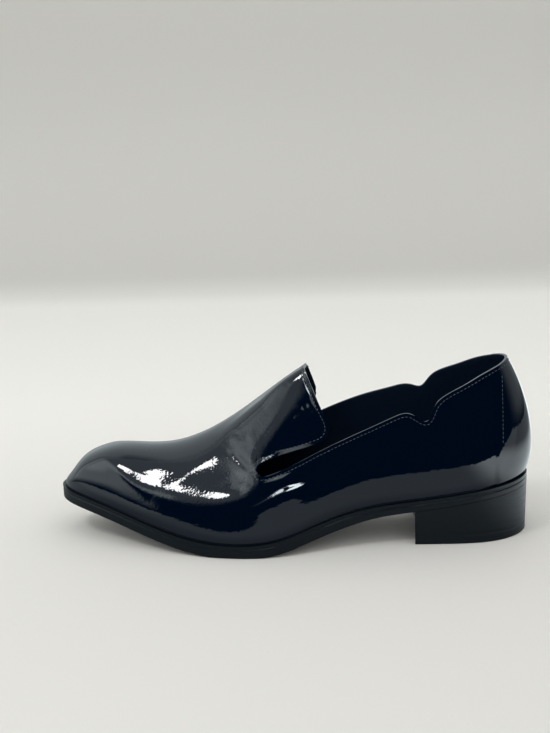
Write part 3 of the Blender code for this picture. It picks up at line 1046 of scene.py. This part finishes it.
def stitch_rows(sizes):
    """The upper's surface as a search tree, and the paths of the stitch rows on it."""
    mesh = bpy.data.objects["patent_upper"].data
    tree = BVHTree.FromPolygons(
        [vert.co for vert in mesh.vertices], [face.vertices for face in mesh.polygons]
    )
    rows = []
    for name, curve in edge_curves().items():
        path = to_frame(curve)
        steps = np.linalg.norm(np.diff(path, axis=0), axis=1)
        path = path[np.concatenate([[True], steps > SHORTEST_STEP])]
        run = np.gradient(path, axis=0)
        run /= np.linalg.norm(run, axis=1)[:, None]
        normals = np.array([tree.find_nearest(Vector(point))[1] for point in path])
        inward = np.cross(normals, run)
        inward /= np.linalg.norm(inward, axis=1)[:, None]
        rise = -1 if name == "topline" else 1  # the row runs under the topline, over the tongue's edge
        inward *= rise * np.sign(inward[:, 2].mean())
        rows.append(path + inward * sizes.stitch_inset)
    for side in (OUTER, INNER):
        rows.append(to_frame(strip_row(side)))
        rows.extend(to_frame(on_wall(side, bar)) for bar in tack_bars(side))
    return tree, rows


def sew(bm, tree, row, sizes):
    """Lays stitches along a row, each on the leather's surface."""
    runs = np.concatenate([[0], np.cumsum(np.linalg.norm(np.diff(row, axis=0), axis=1))])
    count = int(runs[-1] / sizes.stitch_pitch)
    places = (np.arange(count) + 0.5) * runs[-1] / count
    half = sizes.stitch_length / 2
    for place in places:
        start, end = (
            Vector([np.interp(place + shift, runs, row[:, k]) for k in range(3)])
            for shift in (-half, half)
        )
        middle, normal, _, _ = tree.find_nearest((start + end) / 2)
        along = (end - start).normalized()
        beside = normal.cross(along).normalized()
        up = along.cross(beside)
        turn = Matrix((along, beside, up)).transposed().to_4x4()
        stretch = Matrix.Diagonal((half, sizes.thread / 2, sizes.thread / 2, 1.0))
        spot = Matrix.Translation(middle + up * sizes.thread * STITCH_LIFT)
        bmesh.ops.create_uvsphere(
            bm,
            u_segments=STITCH_SIDES,
            v_segments=STITCH_RINGS,
            radius=1.0,
            matrix=spot @ turn @ stretch,
        )


class LOAFER_OT_stitching(Operator):
    """Sew the rows along the collar, the tongue and the back strip, and the tacks at the slits"""

    bl_idname = "loafer.stitching"
    bl_label = "Edge stitching"

    def execute(self, context):
        sizes, colours = context.scene.loafer_sizes, context.scene.loafer_colours
        bm = bmesh.new()
        tree, rows = stitch_rows(sizes)
        for row in rows:
            sew(bm, tree, row, sizes)
        on_body(add_mesh("edge_stitching", bm, sewing_thread(colours)), "patent_leather")
        return {"FINISHED"}


def sole_face(height):
    """The sole's top or its underside, by the function that gives its height at a station."""

    def shape(forward, share):
        plan = across(BACK * (1 - forward), share, LEDGE)
        return with_height(plan, height(plan[:, 0]))

    return shape


def sole_wall(side, groove):
    """The sole's edge on one side, with a line drawn in below its top."""

    def shape(forward, down):
        girth = BACK * (1 - forward)
        rim = outline(side, girth, LEDGE)
        top, bottom = seat_height(rim[:, 0]), sole_bottom(rim[:, 0])
        depth = down * (top - bottom)
        plan = outline(side, girth, LEDGE - groove * fade(depth - SOLE_LINE_DOWN, SOLE_LINE_WIDTH))
        return with_height(plan, top - depth)

    return shape


class LOAFER_OT_outsole(Operator):
    """Model the outsole with its edge line"""

    bl_idname = "loafer.outsole"
    bl_label = "Outsole"

    def execute(self, context):
        sizes, colours = context.scene.loafer_sizes, context.scene.loafer_colours
        bm = bmesh.new()
        for height in (seat_height, sole_bottom):
            shaped_grid(bm, SOLE_COLUMNS, SOLE_ROWS, sole_face(height))
        for side in (OUTER, INNER):
            shaped_grid(bm, SOLE_COLUMNS, SOLE_WALL_ROWS, sole_wall(side, sizes.sole_groove / MM))
        close_seams(bm)
        outsole = add_mesh("edged_outsole", bm, sole_edge(colours))
        on_body(outsole, "sole", "outsole")
        round_edges(outsole, sizes.sole_round, ROUNDED_ANGLE)
        return {"FINISHED"}


def heel_plan(forward, share, grow):
    """Plan points of the heel block, hollowed at its breast."""
    plan = across(BACK + forward * (girth_of(HEEL_BREAST) - BACK), share, grow)
    plan[:, 0] -= HEEL_HOLLOW * (4 * share * (1 - share) * forward**END_POWER)
    return plan


def heel_column(forward, share, down, lift_height):
    """Points on the heel block's wall, drawn in a little at the joint of its lowest layer."""
    top = sole_bottom(heel_plan(forward, share, LEDGE)[:, 0]) - GAP
    height = top * (1 - down)
    joint = LIFT_JOINT_DEPTH * fade(height - lift_height, LIFT_JOINT_WIDTH)
    return with_height(heel_plan(forward, share, LEDGE - HEEL_TAPER * down - joint), height)


class LOAFER_OT_heel(Operator):
    """Model the stacked heel block with its top lift"""

    bl_idname = "loafer.heel"
    bl_label = "Heel"

    def execute(self, context):
        sizes, colours = context.scene.loafer_sizes, context.scene.loafer_colours
        bm = bmesh.new()

        def block(forward, share, down):
            shares = np.broadcast_arrays(forward, share, down)
            return heel_column(*shares, sizes.lift_height / MM)

        for down in (0.0, 1.0):
            shaped_grid(bm, HEEL_COLUMNS, SOLE_ROWS, lambda forward, share: block(forward, share, down))
        for share in (0.0, 1.0):
            shaped_grid(
                bm, HEEL_COLUMNS, HEEL_WALL_ROWS, lambda forward, down: block(forward, share, down)
            )
        shaped_grid(bm, SOLE_ROWS, HEEL_WALL_ROWS, lambda share, down: block(1.0, share, down))
        close_seams(bm)
        heel = add_mesh("stacked_heel", bm, heel_stack(colours))
        on_body(heel, "heel", "heel")
        round_edges(heel, HEEL_ROUND * MM, ROUNDED_ANGLE)
        return {"FINISHED"}


def insole_plan(forward, share):
    """The insole's outline, drawn back from the toe where the wall leans over it."""
    plan = across(BACK * (1 - forward), share, -LAST_WALL - INSOLE_CLEAR)
    plan[:, 0] -= INSOLE_TOE_CLEAR * forward**END_POWER
    return plan


def insole_face(lift):
    def shape(forward, share):
        plan = insole_plan(forward, share)
        return with_height(plan, seat_height(plan[:, 0]) + GAP + lift)

    return shape


class LOAFER_OT_insole(Operator):
    """Model the insole with its leather sock"""

    bl_idname = "loafer.insole"
    bl_label = "Insole"

    def execute(self, context):
        colours = context.scene.loafer_colours
        bm = bmesh.new()
        for lift in (0.0, INSOLE_THICK):
            shaped_grid(bm, SOLE_COLUMNS, INSOLE_ROWS, insole_face(lift))
        bmesh.ops.remove_doubles(bm, verts=bm.verts, dist=MERGE)
        bmesh.ops.bridge_loops(bm, edges=[edge for edge in bm.edges if edge.is_boundary])
        close_seams(bm)
        insole = add_mesh("insole_sock", bm, lining_leather(colours))
        on_body(insole, "insole", "insole")
        round_edges(insole, INSOLE_ROUND * MM, ROUNDED_ANGLE)
        return {"FINISHED"}


# The camera, in metres, degrees and, for its sensor and lens, millimetres
CAMERA_PLACE = (0.0515, -0.7036, 0.2941)
CAMERA_YAW = 4.8
CAMERA_PITCH = 75.75  # up from straight down
CAMERA_ROLL = -2.43
CAMERA_SENSOR = 36.0
CAMERA_LENS = 54.02
CAMERA_CLIP = 0.01

# The paper sweep, in metres
SWEEP_HALF_WIDTH = 3.0
SWEEP_FRONT = -3.0
SWEEP_BACK = 0.9
SWEEP_RADIUS = 0.35
SWEEP_TOP = 1.6
SWEEP_COLUMNS = 2
SWEEP_ROWS = 60
FLOOR_DROP = 0.0003  # under the shoe, so that the two don't share a plane

# The soft box, in metres and degrees, with its azimuth from +Y towards +X
SOFT_BOX_TARGET = (-0.045, -0.03, 0.05)
SOFT_BOX_AZIMUTH = -131.0
SOFT_BOX_ELEVATION = 53.5
SOFT_BOX_DISTANCE = 1.4
SOFT_BOX_WIDTH = 0.262
SOFT_BOX_HEIGHT = 0.235
SOFT_BOX_WATTS = 3.7


def add_camera():
    data = bpy.data.cameras.new("Photo camera")
    data.sensor_width = CAMERA_SENSOR
    data.lens = CAMERA_LENS
    data.clip_start = CAMERA_CLIP
    camera = add_object("Photo camera", data)
    turns = ((CAMERA_YAW, "Z"), (CAMERA_PITCH, "X"), (CAMERA_ROLL, "Z"))
    place = Matrix.Translation(CAMERA_PLACE)
    for degrees, axis in turns:
        place @= Matrix.Rotation(radians(degrees), 4, axis)
    camera.matrix_world = place
    bpy.context.scene.camera = camera


def add_sweep(colours):
    """The floor, which curves up into a backdrop behind the shoe."""
    bm = bmesh.new()
    made = bmesh.ops.create_grid(bm, x_segments=SWEEP_COLUMNS, y_segments=SWEEP_ROWS, size=0.5)
    flat = SWEEP_BACK - SWEEP_FRONT
    curve = SWEEP_RADIUS * pi / 2
    total = flat + curve + SWEEP_TOP - SWEEP_RADIUS
    for vert in made["verts"]:
        run = (vert.co.y + 0.5) * total
        turn = min(max((run - flat) / SWEEP_RADIUS, 0), pi / 2)
        y = SWEEP_FRONT + min(run, flat) + SWEEP_RADIUS * sin(turn)
        z = SWEEP_RADIUS * (1 - cos(turn)) + max(run - flat - curve, 0)
        vert.co = (vert.co.x * 2 * SWEEP_HALF_WIDTH, y, z - FLOOR_DROP)
    sweep = add_mesh("paper_sweep", bm, floor_paper(colours))
    sweep.visible_glossy = False


def add_soft_box():
    """The lamp, which the gloss of the vamp shows as a bright pane."""
    data = bpy.data.lights.new("Soft box", "AREA")
    data.shape = "RECTANGLE"
    data.size, data.size_y = SOFT_BOX_WIDTH, SOFT_BOX_HEIGHT
    data.energy = SOFT_BOX_WATTS
    light = add_object("Soft box", data)
    azimuth, elevation = radians(SOFT_BOX_AZIMUTH), radians(SOFT_BOX_ELEVATION)
    level = cos(elevation)
    away = Vector((sin(azimuth) * level, cos(azimuth) * level, sin(elevation)))
    light.location = Vector(SOFT_BOX_TARGET) + away * SOFT_BOX_DISTANCE
    light.rotation_euler = away.to_track_quat("Z", "Y").to_euler()
    light.visible_camera = False


class Card(NamedTuple):
    """A soft card of the studio as the gloss sees it, in degrees of azimuth and elevation."""

    left: float
    right: float
    low: float
    high: float
    soft_side: float
    soft_end: float
    bright: float


CARDS = (
    Card(-75, 30, -4, 68, 14, 8, 0.90),  # backdrop
    Card(-131, -75, 2, 40, 3, 6, 1.15),  # side card past the toe
    Card(-152, -75, 40, 95, 6, 6, 0.56),  # its upper part
    Card(-150, -131, 27, 40, 5, 5, 0.42),  # its end under the soft box
    Card(-128, -88, 24, 44, 6, 6, 0.60),  # light patch on it
    Card(146, 184, 34, 47, 2, 2, 1.6),  # lamp tray over the camera
    Card(146, 166, 31, 49, 2, 2, 15.0),  # its tube
    Card(-184, -166, 35, 47, 2, 2, 1.3),  # the tray's other end
    Card(-178, -153, 45, 57, 2, 2, 13.0),  # its second tube
    Card(-140, -128, 27, 37, 2, 3, 1.1),  # pale strip under the soft box
    Card(-75, 30, 68, 95, 14, 8, 0.42),  # top of the backdrop
    Card(30, 95, -3, 25, 14, 4, 0.42),  # side card past the heel
)
CARD_COLOUR = (0.88, 0.98, 1.0, 1.0)
BETWEEN_CARDS = 0.004  # brightness of the dark that the gloss sees between them
STUDIO_COLOUR = (1.0, 0.985, 0.955, 1.0)  # of the even light on the shoe and the sweep
STUDIO_LEVEL = 0.70  # its brightness from the side
STUDIO_ABOVE = 1.06


def add_world():
    """An even pale studio, which the gloss sees as soft cards in the dark."""
    world = bpy.data.worlds.new("Studio")
    bpy.context.scene.world = world
    world.use_nodes = True
    tree = world.node_tree
    tree.nodes.clear()
    coords = add_node(tree, "TexCoord")
    split = add_node(tree, "SeparateXYZ", {"Vector": coords.outputs["Generated"]})
    east, north, height = (split.outputs[axis] for axis in "XYZ")
    azimuth = add_node(tree, "Math", {0: east, 1: north}, operation="ARCTAN2")
    elevation = add_node(tree, "Math", {0: height}, operation="ARCSINE")
    glow = BETWEEN_CARDS
    for card in CARDS:
        shine = card.bright
        for angle, edge, soft, beyond in (
            (azimuth, card.left, card.soft_side, 1.0),
            (azimuth, card.right, card.soft_side, 0.0),
            (elevation, card.low, card.soft_end, 1.0),
            (elevation, card.high, card.soft_end, 0.0),
        ):
            values = (angle, radians(edge - soft), radians(edge + soft), 1.0 - beyond, beyond)
            step = add_node(
                tree, "MapRange", zip(RANGE, values), interpolation_type="SMOOTHSTEP"
            )
            shine = add_node(tree, "Math", {0: step, 1: shine}, operation="MULTIPLY")
        glow = add_node(tree, "Math", {0: shine, 1: glow}, operation="ADD")
    cards = add_node(tree, "Background", {"Color": CARD_COLOUR, "Strength": glow})
    upward = add_node(
        tree, "MapRange", {"Value": height, "To Min": STUDIO_LEVEL, "To Max": STUDIO_ABOVE}
    )
    studio = add_node(tree, "Background", {"Color": STUDIO_COLOUR, "Strength": upward})
    glossy = add_node(tree, "LightPath").outputs["Is Glossy Ray"]
    seen = add_node(tree, "MixShader", {0: glossy, 1: studio, 2: cards})
    add_node(tree, "OutputWorld", {"Surface": seen})


class Glow(NamedTuple):
    """How much brighter the floor card gets along an axis, between two places in metres."""

    axis: str
    start: float
    end: float
    bright: float


FLOOR_GLOWS = (
    # painted shade: the card stays dimmer next to the shoe, standing for the shoe's shade on the floor
    Glow("Y", -0.05, -0.11, 0.20),
    Glow("X", -0.16, -0.32, 0.30),
    Glow("X", 0.14, 0.24, 1.60),
    Glow("X", 0.30, 0.48, -1.40),
)
FLOOR_CARD_BRIGHT = 0.24
FLOOR_CARD_FRONT = -0.225
FLOOR_CARD_BACK = 1.0
FLOOR_CARD_HALF_WIDTH = 0.9


def floor_glow():
    """Pale floor as the gloss sees it: a glow with painted shade that keeps it dimmer next to the shoe,
    brighter past the toe and the heel.
    """
    material = bpy.data.materials.new("Floor card, glowing")
    material.use_nodes = True
    tree = material.node_tree
    tree.nodes.clear()
    coords = add_node(tree, "TexCoord")
    split = add_node(tree, "SeparateXYZ", {"Vector": coords.outputs["Object"]})
    level = FLOOR_CARD_BRIGHT
    for glow in FLOOR_GLOWS:
        values = (split.outputs[glow.axis], glow.start, glow.end, 0.0, glow.bright)
        more = add_node(tree, "MapRange", zip(RANGE, values), interpolation_type="SMOOTHSTEP")
        level = add_node(tree, "Math", {0: more, 1: level}, operation="ADD")
    light = add_node(tree, "Emission", {"Color": CARD_COLOUR, "Strength": level})
    add_node(tree, "OutputMaterial", {"Surface": light})
    return material


def add_floor_card():
    """The floor that the gloss sees, which ends in front of the shoe."""
    bm = bmesh.new()
    made = bmesh.ops.create_grid(bm, x_segments=1, y_segments=1, size=0.5)
    depth = FLOOR_CARD_BACK - FLOOR_CARD_FRONT
    for vert in made["verts"]:
        y = FLOOR_CARD_FRONT + (vert.co.y + 0.5) * depth
        vert.co = (vert.co.x * 2 * FLOOR_CARD_HALF_WIDTH, y, -2 * FLOOR_DROP)
    card = add_mesh("floor_card", bm, floor_glow())
    card.visible_camera = False
    card.visible_diffuse = False
    card.visible_shadow = False


class LOAFER_OT_studio(Operator):
    """Set up the camera, the paper sweep, the cards and the soft box"""

    bl_idname = "loafer.studio"
    bl_label = "Studio"

    def execute(self, context):
        context.scene.view_settings.view_transform = "Standard"
        add_camera()
        add_sweep(context.scene.loafer_colours)
        add_floor_card()
        add_world()
        add_soft_box()
        return {"FINISHED"}


class LOAFER_PT_finish(Panel):
    """Sidebar panel that lists the loafer's pieces"""

    bl_label = "Loafer"
    bl_idname = "LOAFER_PT_finish"
    bl_space_type = "VIEW_3D"
    bl_region_type = "UI"
    bl_category = "Loafer"

    def draw(self, context):
        for operator in PIECES:
            self.layout.operator(operator.bl_idname)


PIECES = (
    LOAFER_OT_upper,
    LOAFER_OT_stitching,
    LOAFER_OT_outsole,
    LOAFER_OT_heel,
    LOAFER_OT_insole,
    LOAFER_OT_studio,
)
CLASSES = (LoaferSizes, LoaferColours, *PIECES, LOAFER_PT_finish)


def register():
    for cls in CLASSES:
        bpy.utils.register_class(cls)
    bpy.types.Scene.loafer_sizes = PointerProperty(type=LoaferSizes)
    bpy.types.Scene.loafer_colours = PointerProperty(type=LoaferColours)


def unregister():
    del bpy.types.Scene.loafer_colours
    del bpy.types.Scene.loafer_sizes
    for cls in reversed(CLASSES):
        bpy.utils.unregister_class(cls)


def main():
    register()
    bpy.ops.loafer.upper()
    bpy.ops.loafer.stitching()
    bpy.ops.loafer.outsole()
    bpy.ops.loafer.heel()
    bpy.ops.loafer.insole()
    bpy.ops.loafer.studio()


if __name__ == "__main__":
    main()
